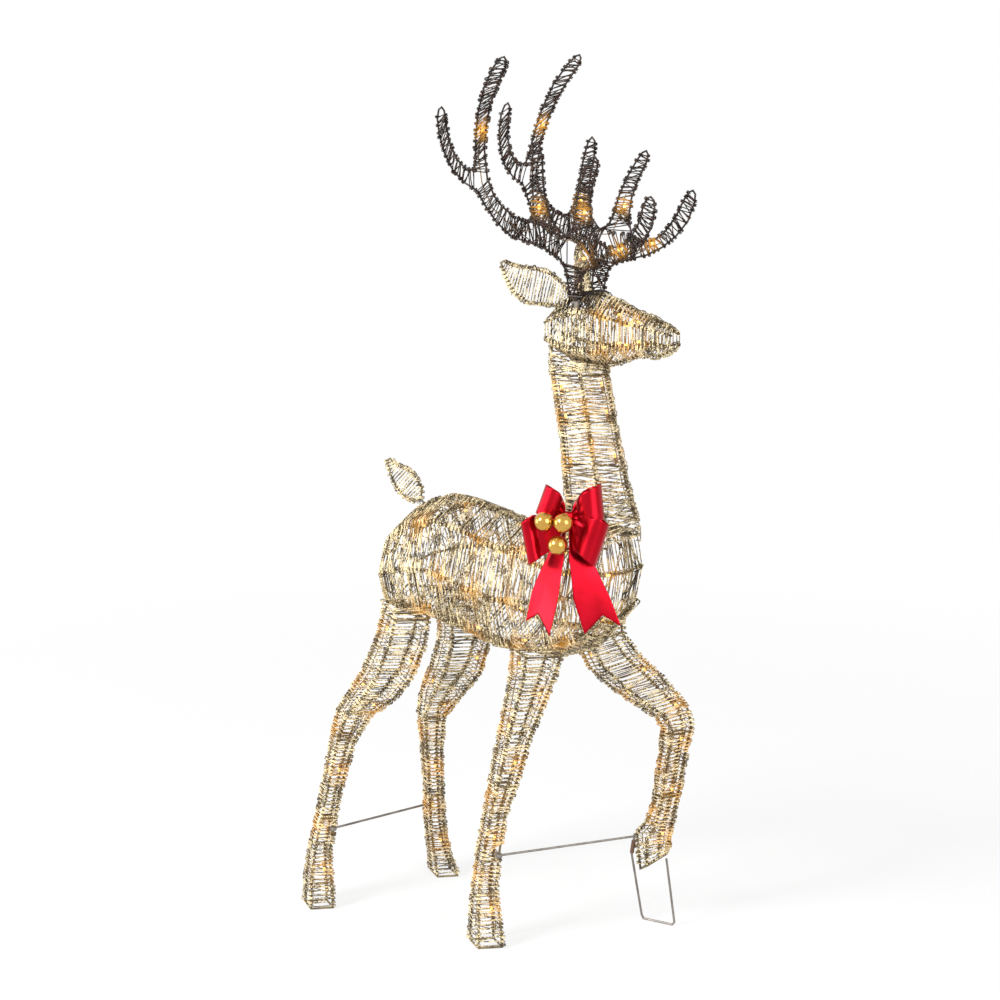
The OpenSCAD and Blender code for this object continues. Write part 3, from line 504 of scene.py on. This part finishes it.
# Windings: a loop's greatest step in degrees, how far it moves on along the wire and how far it hangs out
LOOP_STEP, LOOP_TRAVEL, LOOP_HANG = 55, 2.3 * THREAD_R, 0.85
THREAD_GAP, LEAST_SLACK = 0.2, 0.2
# A run longer than this strays in the middle, by a share of its length up to a limit
LONG_RUN, STRAY_SHARE, STRAY_LIMIT = 14.0, 0.03, 1.6


def clear_of(d, wire, bare):
    """d moved out of a bare stretch of the wire, whose ends are given by height."""
    for low, high in bare:
        z = wire(d)[0][2]
        if low < z < high:
            step = 0.5 if z < (low + high) / 2 else -0.5
            while low < wire(d)[0][2] < high:
                d += step
    return d


def wind(
        wires, start, stop, pitch, wire_r, rng, way=1, face=None, bare=None, loops=True, proud=0.0,
        slack=2.2, uneven=0.16):
    """The path of a thread round the wires, with a loose loop round each wire that it passes."""
    n = len(wires)
    count = max(n, int((stop - start) / pitch * n))
    bare = bare or {}
    lead = 180 / n
    path = []
    for i in range(count + 1):
        k = way * i % n
        d = start + (stop - start) * i / count + rng.uniform(-uneven, uneven) * pitch
        d = clear_of(min(max(d, start), stop), wires[k], bare.get(k, ()))
        p, out = wires[k](d)
        t = unit(wires[k](d + 1)[0] - wires[k](d - 1)[0])
        out = unit(out - t * (out @ t))
        if face is None:
            ahead = wires[(k + way) % n](d)[0] - wires[(k - way) % n](d)[0]
        else:
            ahead = face if k == 0 else -face
        ahead = unit(ahead - t * (ahead @ t) - out * (ahead @ out))
        loose = rng.uniform(LEAST_SLACK, slack) if loops else 0.0
        r = wire_r + THREAD_R + THREAD_GAP + loose + proud
        if loops:
            steps = math.ceil((360 + 2 * lead) / LOOP_STEP)
            sweep = np.linspace(-lead, 360 + lead, steps + 1)
        else:
            sweep = np.array([-lead, lead]) * 0.8
        travel = LOOP_TRAVEL if loops else 0.0
        for s in np.radians(sweep):
            path.append(
                p + out * (LOOP_HANG * loose) + r * (math.cos(s) * out + math.sin(s) * ahead)
                + t * travel * (s / (2 * math.pi) - 0.5))
    return wander(path, rng)


def stray(wires, start, stop, count, wire_r, rng):
    """The path of a loose end that wanders from wire to wire at odd slants."""
    n, k, way, d = len(wires), rng.randrange(len(wires)), 1, (start + stop) / 2
    path = []
    for _ in range(count):
        p, out = wires[k](d)
        path.append(p + unit(out) * (wire_r + THREAD_R + rng.uniform(0.4, 1.6)))
        if rng.random() < 0.22:
            way = -way
        k = (k + way) % n
        d += rng.uniform(-0.45, 0.45) * (stop - start)
        if d < start or d > stop:
            d = rng.uniform(start, stop)
    return wander(path, rng)


def wander(path, rng):
    """The path with a slightly strayed point in the middle of each long straight run."""
    more = [path[0]]
    for a, b in zip(path, path[1:]):
        run = np.linalg.norm(b - a)
        if run > LONG_RUN:
            aside = np.array([rng.uniform(-1, 1) for _ in range(3)])
            more.append((a + b) / 2 + aside * min(STRAY_LIMIT, STRAY_SHARE * run))
        more.append(b)
    return more


def antler_lay(side, off=0.0):
    """Where a point of an antler's plane goes, off being how far outside that plane it lies."""
    def lay(x, h):
        y = ANTLER_FOOT[1] + h * math.sin(ANTLER_LEAN) + off * math.cos(ANTLER_LEAN)
        z = ANTLER_FOOT[2] + h * math.cos(ANTLER_LEAN) - off * math.sin(ANTLER_LEAN)
        return np.array([x, side * y, z])

    return lay


def ear_lay(side):
    def lay(a, b):
        v = EAR_ROOT + a * EAR_LONG + b * EAR_WIDE
        return np.array([v[0], side * v[1], v[2]])

    return lay


BODY_ANGLES = [90, 135, 180, 225, 270, 315, 0, 45]
HEAD_ANGLES = [90, 30, -30, -90, -150, 150]
NECK_ANGLES = [0, 60, 120, 180, 240, 300]
LEG_ANGLES = [0, 90, 180, 270]
BODY_BULBS = islands("body_bulbs")
NECK_BULBS = islands("neck_bulbs")


def dress_body():
    rng = random.Random(11)
    wires = [barrel_wire(BODY, a) for a in BODY_ANGLES]
    paths = [
        wind(wires, -219, 223, pitch=7.4, wire_r=FRAME_R, rng=rng),
        wind(wires, -217, 222, pitch=23.0, wire_r=FRAME_R, rng=rng, way=-1, loops=False, proud=1.2),
        wind(wires, -216, 221, pitch=34.0, wire_r=FRAME_R, rng=rng, loops=False, proud=-0.6),
        stray(wires, 92, 220, count=110, wire_r=FRAME_R, rng=rng),
        stray(wires, -216, -110, count=110, wire_r=FRAME_R, rng=rng),
        stray(wires, -120, 100, count=60, wire_r=FRAME_R, rng=rng)]
    tubes("body_thread", paths, THREAD_R, "gold_thread", "body", ["body_winding"], bulbs=BODY_BULBS)


def dress_leg(name, table, side, bare, seed):
    rng = random.Random(seed)
    wires = [leg_wire(table, side, a) for a in LEG_ANGLES]
    held = {LEG_ANGLES.index(a): [(low, high)] for a, low, high in bare}
    end = way_along(table)[-1]
    paths = [
        wind(wires, -24, end - 2, pitch=7.2, wire_r=FRAME_R, rng=rng, bare=held),
        wind(
            wires, -22, end - 4, pitch=37.0, wire_r=FRAME_R, rng=rng, way=-1, bare=held, loops=False,
            proud=0.4)]
    tubes(name + "_thread", paths, THREAD_R, "gold_thread", "body", [name + "_winding"], bulbs=BODY_BULBS)


def dress_neck_and_head():
    rng = random.Random(31)
    neck = [collar_wire(a) for a in NECK_ANGLES]
    paths = [
        wind(neck, 729, 1031, pitch=6.4, wire_r=FRAME_R, rng=rng),
        wind(neck, 731, 1028, pitch=19.0, wire_r=FRAME_R, rng=rng, way=-1, loops=False, proud=0.6),
        stray(neck, 734, 800, count=34, wire_r=FRAME_R, rng=rng)]
    tubes("neck_thread", paths, THREAD_R, "gold_thread", "neck and head", ["neck_winding"], bulbs=NECK_BULBS)
    head = [barrel_wire(HEAD, a) for a in HEAD_ANGLES]
    paths = [
        wind(head, 92, 315, pitch=6.8, wire_r=FRAME_R, rng=rng),
        wind(head, 94, 311, pitch=26.0, wire_r=FRAME_R, rng=rng, way=-1, loops=False, proud=0.8),
        stray(head, 96, 200, count=60, wire_r=FRAME_R, rng=rng)]
    tubes("head_thread", paths, THREAD_R, "gold_thread", "neck and head", ["head_winding"], bulbs=NECK_BULBS)
    for side, word in ((-1, "right"), (1, "left")):
        wires, end = band_wires(EAR, ear_lay(side))
        face = np.cross(EAR_LONG, EAR_WIDE) * np.array([1, side, 1])
        paths = [wind(wires, 2, end - 1, pitch=5.4, wire_r=ANTLER_R, rng=rng, face=face)]
        tubes(
            word + "_ear_thread", paths, LEAF_THREAD_R, "gold_thread", "neck and head",
            [word + "_ear_winding"], bulbs=NECK_BULBS)


def dress_crown():
    """Brown strands drawn across the top of the head round the feet of the antlers."""
    rng = random.Random(37)
    strands, steps = 30, 8
    paths = []
    for _ in range(strands):
        x, lean = rng.uniform(122, 186), rng.uniform(-14, 14)
        from_left, to_right = rng.uniform(128, 150), rng.uniform(30, 52)
        path = []
        for k, a in enumerate(np.linspace(from_left, to_right, steps + 1)):
            p, out = barrel_wire(HEAD, a)(x + lean * (2 * k / steps - 1))
            high = 4.0 + 3.0 * math.sin(math.pi * k / steps) * rng.uniform(0.4, 1.0)
            path.append(p + unit(out) * high)
        paths.append(path)
    tubes("crown_thread", paths, LEAF_THREAD_R, "antler_thread", "neck and head")


def dress_tail():
    rng = random.Random(41)
    wires, end = band_wires(TAIL, lambda x, z: np.array([x, 0.0, z]))
    face = np.array([0.0, 1.0, 0.0])
    paths = [wind(wires, 0, end - 2, pitch=5.2, wire_r=ANTLER_R, rng=rng, face=face)]
    tubes("tail_thread", paths, LEAF_THREAD_R, "gold_thread", "tail", ["tail_winding"])


def encloses(outline, x, h):
    """Whether a point lies within an outline: a line from it crosses the edges an odd number of times."""
    inside = False
    for (ax, ah), (bx, bh) in zip(outline, outline[1:] + outline[:1]):
        if (ah > h) != (bh > h) and x < ax + (bx - ax) * (h - ah) / (bh - ah):
            inside = not inside
    return inside


def palm_strands(side, rng):
    """Strands drawn across the broad foot of an antler, from edge to edge and round them."""
    strands, shortest, longest, past = 80, 22, 64, 2.6
    paths = []
    while len(paths) < strands:
        ends = []
        for _ in range(2):
            k, t = rng.randrange(len(ANTLER_PALM)), rng.random()
            ends.append(np.array(ANTLER_PALM[k - 1]) * (1 - t) + np.array(ANTLER_PALM[k]) * t)
        p, q = ends
        run = np.linalg.norm(q - p)
        within = all(encloses(ANTLER_PALM, *(p + (q - p) * t)) for t in (0.1, 0.5, 0.9))
        if not shortest < run < longest or not within:
            continue
        face, u = rng.choice((-1, 1)) * (ANTLER_R + LEAF_THREAD_R), (q - p) / run
        spots = [(p - past * u, 0.0), (p, face), ((p + q) / 2, face), (q, face), (q + past * u, 0.0)]
        paths.append([antler_lay(side, off)(*spot) for spot, off in spots])
    return paths


def dress_antler(side, word):
    rng = random.Random(50 + side)
    face = np.array([0.0, side * math.cos(ANTLER_LEAN), -math.sin(ANTLER_LEAN)])
    paths = []
    for table in ANTLER_BRANCHES.values():
        wires, end = band_wires(table, antler_lay(side))
        paths.append(wind(
            wires, 1, end - 1, pitch=9.0, wire_r=ANTLER_R, rng=rng, face=face, slack=1.2, uneven=0.34))
        paths.append(wind(
            wires, 5, end - 3, pitch=12.5, wire_r=ANTLER_R, rng=rng, way=-1, face=face, loops=False,
            proud=0.3, uneven=0.42))
    paths += palm_strands(side, rng)
    tubes(
        word + "_antler_thread", paths, ANTLER_THREAD_R, "antler_thread", word + " antler",
        [word + "_antler_winding"], bulbs=islands(word + "_antler_bulbs"), reach=ANTLER_REACH)


# Bow: the ribbon's thickness, where a loop leaves the knot, and half the gap between the loop's ends
RIBBON_THICK = 0.6
LOOP_ROOT, LOOP_GAP = 7.5, 2.4
# The knot's radius and half height, and the ribbon of its wrap
KNOT_R, KNOT_HALF = 10.2, 9.6
WRAP_WIDE, WRAP_LONG = 20.0, 66.0


def bow_point(right, up, front):
    return BOW_MID + right * BOW_RIGHT + up * BOW_UP + front * BOW_FRONT


def ribbon(name, rows, node, length):
    """A strip of ribbon from its rows of points, as a closed thin sheet, with its UV map laid out at its cut
    size.
    """
    n, m = len(rows), len(rows[0])
    verts = place(np.array(rows).reshape(-1, 3))
    corners = [i * m + k for i in range(n - 1) for k in range(m - 1)]
    faces = [[c, c + 1, c + m + 1, c + m] for c in corners]
    me = bpy.data.meshes.new(name)
    me.from_pydata(verts.tolist(), [], faces)
    me.shade_smooth()
    uv = me.uv_layers.new(name="ribbon")
    for loop in me.loops:
        i, k = divmod(loop.vertex_index, m)
        uv.data[loop.index].uv = (RIBBON_W * MM * k / (m - 1), length * MM * i / (n - 1))
    piece = add_piece(name, me, "ribbon", "neck and head", node)
    thick = piece.modifiers.new("thickness", "SOLIDIFY")
    thick.thickness, thick.offset = RIBBON_THICK * MM, 0.0
    return piece


def gathered(half, folds):
    """Offsets across a strip that is drawn in to a half width, in folds that keep its full width."""
    wide = min(2 * half, RIBBON_W)
    deep = math.sqrt(2 * (RIBBON_W ** 2 - wide ** 2)) / (math.pi * 2 * folds)
    return [(v, deep * math.cos(folds * math.pi * v)) for v in np.linspace(-1, 1, 31)]


def bow_loop(name, end, fold, over, ahead, roll, node):
    """A loop of ribbon: out from the front of the knot, round a full roll at its end, and back behind."""
    end, fold = np.array(end, float), unit(fold)
    far, u = np.linalg.norm(end), unit(end)
    root, mid = LOOP_ROOT, np.array([far - roll, ahead + 5.0])
    back = mid - (root, -LOOP_GAP)
    slope = math.asin(roll / np.linalg.norm(back))
    start, stop = math.radians(195), math.atan2(back[1], back[0]) - slope - math.pi / 2
    arc = [mid + roll * np.array([math.cos(t), math.sin(t)]) for t in np.linspace(start, stop, 44)]
    line = np.array([(root, LOOP_GAP)] + arc + [(root, -LOOP_GAP)])
    ways = np.concatenate([[0.0], np.cumsum(np.linalg.norm(np.diff(line, axis=0), axis=1))])
    rows = []
    for d in np.linspace(0, ways[-1], 61):
        reach, lift = station(line, ways, d)
        t = (reach - root) / (far - root)
        slim, full = 0.18 + 0.82 * min(1.0, t / 0.7), 0.22 + 0.78 * min(1.0, t / 0.4) ** 0.6
        up, down = (full, slim) if end[1] > 0 else (slim, full)
        half = over * RIBBON_W / 2
        crease = 0.35 * max(0.0, 1 - t / 0.45) * (1.0 if d < ways[-1] / 2 else -1.0)
        rows.append([
            bow_point(*(reach * u + v * half * (up if v > 0 else down) * fold), lift + crease * deep)
            for v, deep in gathered(half * (up + down) / 2, 3)])
    return ribbon(name, rows, node, ways[-1]), ways[-1]


def bow_tail(name, line, turns, notch, node):
    """A hanging end of ribbon, turned from the front and cut to two points."""
    line = np.array(line, float)
    ways = np.concatenate([[0.0], np.cumsum(np.linalg.norm(np.diff(line, axis=0), axis=1))])
    lean = unit(line[-1] - line[-2])
    rows = []
    for s in np.linspace(0, 1, 40):
        right, up, front = station(line, ways, s * ways[-1])
        a = math.radians(turns[0] + (turns[1] - turns[0]) * s)
        flat = (math.tan(a) * lean[0] - lean[2]) / lean[1]
        half = RIBBON_W / 2 * min(1.0, 0.2 + 1.1 * s)
        row = []
        for v, crease in gathered(half, 2):
            drop = max(0.0, s - 0.5) / 0.5 * (notch[0] * max(0.0, -v) + notch[1] * max(0.0, v))
            crease = crease * max(0.0, 1 - s / 0.35) + 2.2 * math.sin(5 * s + v) * s
            row.append(bow_point(
                right + v * half * math.cos(a) - crease * math.sin(a), up - drop,
                front + v * half * math.sin(a) + crease * math.cos(a) + drop * flat))
        rows.append(row)
    length = float(ways[-1] + max(notch))
    return ribbon(name, rows, node, length), length


def dress_bow():
    # Each loop: its end to the right and up, the fold there, the fold's length over the ribbon's width, how
    # far the end stands to the front, and the radius of its roll
    loops = {
        "upper_left": ((-45, 30), (0.33, 0.94), 0.82, -4, 18),
        "upper_right": ((56, 27), (-0.1, 0.99), 0.95, 0, 23),
        "lower_left": ((-71, -44), (-0.19, 0.98), 1.17, 2, 12),
        "lower_right": ((56, -46), (0.3, 0.95), 1.2, 14, 21)}
    for word, (end, fold, over, ahead, roll) in loops.items():
        piece, length = bow_loop(f"ribbon_{word}_loop", end, fold, over, ahead, roll, f"bow_{word}_loop")
    # Each tail: its middle line to the right, up and to the front, how far its start and end are turned from
    # the front in degrees, and how much longer its left and right points are than the notch
    tails = {
        "left": (
            [[-4, -8, -6], [-13, -38, -1], [-21, -70, 4], [-37, -116, 6], [-50, -160, 5]],
            (42, 48), (15, 32)),
        "right": (
            [[4, -8, 0.9], [12, -36, 6], [20, -70, 11], [37, -116, 10], [58, -161, 9]],
            (-22, -6), (31, 18))}
    for word, (line, turns, notch) in tails.items():
        piece, length = bow_tail(f"ribbon_{word}_tail", line, turns, notch, f"bow_{word}_tail")


def bow_knot():
    """The middle of the bow: a short wrap of ribbon, creased where it is drawn tight."""
    verts, faces, rings, sides = [], [], 22, 40
    for i in range(rings):
        h = -1 + 2 * (i + 0.5) / rings
        for k in range(sides):
            a = 2 * math.pi * k / sides
            crease = 0.05 * math.cos(7 * a + 2 * h) * (1 - 0.5 * h * h) + 0.025 * math.cos(13 * a - 3 * h)
            r = KNOT_R * (1 - abs(h) ** 3.2) ** 0.36 * (1 + crease)
            verts.append(bow_point(r * math.cos(a), KNOT_HALF * h, r * math.sin(a)))
    for i in range(rings - 1):
        for k in range(sides):
            m = (k + 1) % sides
            faces.append([i * sides + k, i * sides + m, (i + 1) * sides + m, (i + 1) * sides + k])
    faces.append([k for k in range(sides - 1, -1, -1)])
    faces.append([(rings - 1) * sides + k for k in range(sides)])
    me = bpy.data.meshes.new("bow_knot_wrap")
    me.from_pydata(place(verts).tolist(), [], faces)
    me.shade_smooth()
    uv = me.uv_layers.new(name="ribbon")
    for loop in me.loops:
        i, k = divmod(loop.vertex_index, sides)
        uv.data[loop.index].uv = (WRAP_WIDE * MM * i / rings, WRAP_LONG * MM * k / sides)
    add_piece("bow_knot_wrap", me, "ribbon", "neck and head", "bow_knot")


# Finishes of the nodes that are shown as they are
slot_of = {s["node"]: s["material_slot"] for s in frame["record"]["subparts"]}
for name, node in frame["nodes"].items():
    for slot in node.material_slots:
        slot.material = FINISHES[slot_of[name]]

dress_body()
dress_leg("right_rear_leg", RIGHT_REAR, side=-1, bare=RIGHT_REAR_BARE, seed=21)
dress_leg("left_rear_leg", LEFT_REAR, side=1, bare=LEFT_REAR_BARE, seed=22)
dress_leg("right_front_leg", RIGHT_FRONT, side=-1, bare=RIGHT_FRONT_BARE, seed=23)
dress_leg("left_front_leg", LEFT_FRONT, side=1, bare=[], seed=24)
dress_neck_and_head()
dress_crown()
dress_tail()
dress_antler(-1, "right")
dress_antler(1, "left")
bow_knot()
dress_bow()


# Stage, light and camera
def in_view(f):
    """1 where a ray comes from the camera, or by way of metal or glass."""
    path = f.node("ShaderNodeLightPath").socket.node.outputs
    camera = Value(f, path["Is Camera Ray"])
    metal = Value(f, path["Is Glossy Ray"])
    glass = Value(f, path["Is Transmission Ray"])
    return f.node("ShaderNodeMath", {"operation": "MINIMUM"}, {0: camera + metal + glass, 1: 1.0})


def floor_finish():
    """White floor that keeps the shadow near the object, and is plain white further off."""
    f = Finish("floor")
    away = f.node("ShaderNodeVectorMath", {"operation": "LENGTH"}, {0: f.where()}, out="Value")
    pale = f.mix(f.noise(4.0, 2.0), rgb(0.86, 0.86, 0.86), rgb(0.90, 0.90, 0.90))
    matt = f.node("ShaderNodeBsdfPrincipled", None, {"Base Color": pale, "Roughness": 0.9})
    white = f.node("ShaderNodeEmission", None, {"Color": WHITE, "Strength": 1.0})
    share = in_view(f) * (0.80 + 0.20 * f.ramp(away, 0.7, 2.6))
    both = f.node("ShaderNodeMixShader", None, {0: share, 1: matt, 2: white})
    f.node("ShaderNodeOutputMaterial", None, {"Surface": both})
    return f.material


def studio_sky():
    """White in view. As light on the object it is dim, and brighter overhead."""
    world = bpy.data.worlds.new("studio")
    bpy.context.scene.world = world
    world.use_nodes = True
    f = Finish("studio", world.node_tree)
    way = f.node("ShaderNodeTexCoord", out="Generated")
    up = f.node("ShaderNodeSeparateXYZ", None, {"Vector": way}, out="Z")
    low = f.node("ShaderNodeBackground", None, {"Color": WHITE, "Strength": 0.06})
    high = f.node("ShaderNodeBackground", None, {"Color": WHITE, "Strength": 0.60})
    white = f.node("ShaderNodeBackground", None, {"Color": WHITE, "Strength": 1.0})
    lit = f.node("ShaderNodeMixShader", None, {0: f.ramp(up, 0.2, 0.9), 1: low, 2: high})
    both = f.node("ShaderNodeMixShader", None, {0: in_view(f), 1: lit, 2: white})
    f.node("ShaderNodeOutputWorld", None, {"Surface": both})


def build_stage():
    half = 30.0
    corners = [(-half, -half, 0), (half, -half, 0), (half, half, 0), (-half, half, 0)]
    me = bpy.data.meshes.new("floor")
    me.from_pydata(corners, [], [[0, 1, 2, 3]])
    me.materials.append(floor_finish())
    floor = bpy.data.objects.new("floor", me)
    bpy.context.scene.collection.objects.link(floor)
    studio_sky()


def soft_lamp(name, spot, aim, size, power):
    data = bpy.data.lights.new(name, "AREA")
    data.energy, data.size = power, size
    lamp = bpy.data.objects.new(name, data)
    bpy.context.scene.collection.objects.link(lamp)
    lamp.location = spot
    lamp.rotation_euler = (Vector(aim) - Vector(spot)).to_track_quat("-Z", "Y").to_euler()


def build_camera():
    """The photo's camera: on the deer's right, 30 degrees towards its front and a little above its middle."""
    azimuth, elevation, distance, wide = math.radians(30), math.radians(12), 3800.0, 1700.0
    aim = place([0.0, -18.0, 760.0])
    level = math.cos(elevation)
    back = np.array([math.sin(azimuth) * level, -math.cos(azimuth) * level, math.sin(elevation)])
    data = bpy.data.cameras.new("camera")
    data.sensor_width = 36.0
    data.lens = data.sensor_width * distance / wide
    camera = bpy.data.objects.new("camera", data)
    bpy.context.scene.collection.objects.link(camera)
    camera.location = aim + back * distance * MM
    camera.rotation_euler = Vector(-back).to_track_quat("-Z", "Y").to_euler()
    bpy.context.scene.camera = camera


build_stage()
soft_lamp("key", spot=(-1.6, -3.2, 3.0), aim=(0, 0, 0.8), size=1.3, power=205)
soft_lamp("fill", spot=(3.6, -1.4, 2.0), aim=(0, 0, 0.8), size=2.2, power=95)
soft_lamp("side", spot=(-3.1, -1.5, 0.9), aim=(0, 0, 0.7), size=1.5, power=42)
build_camera()
bpy.context.scene.view_settings.view_transform = "Standard"
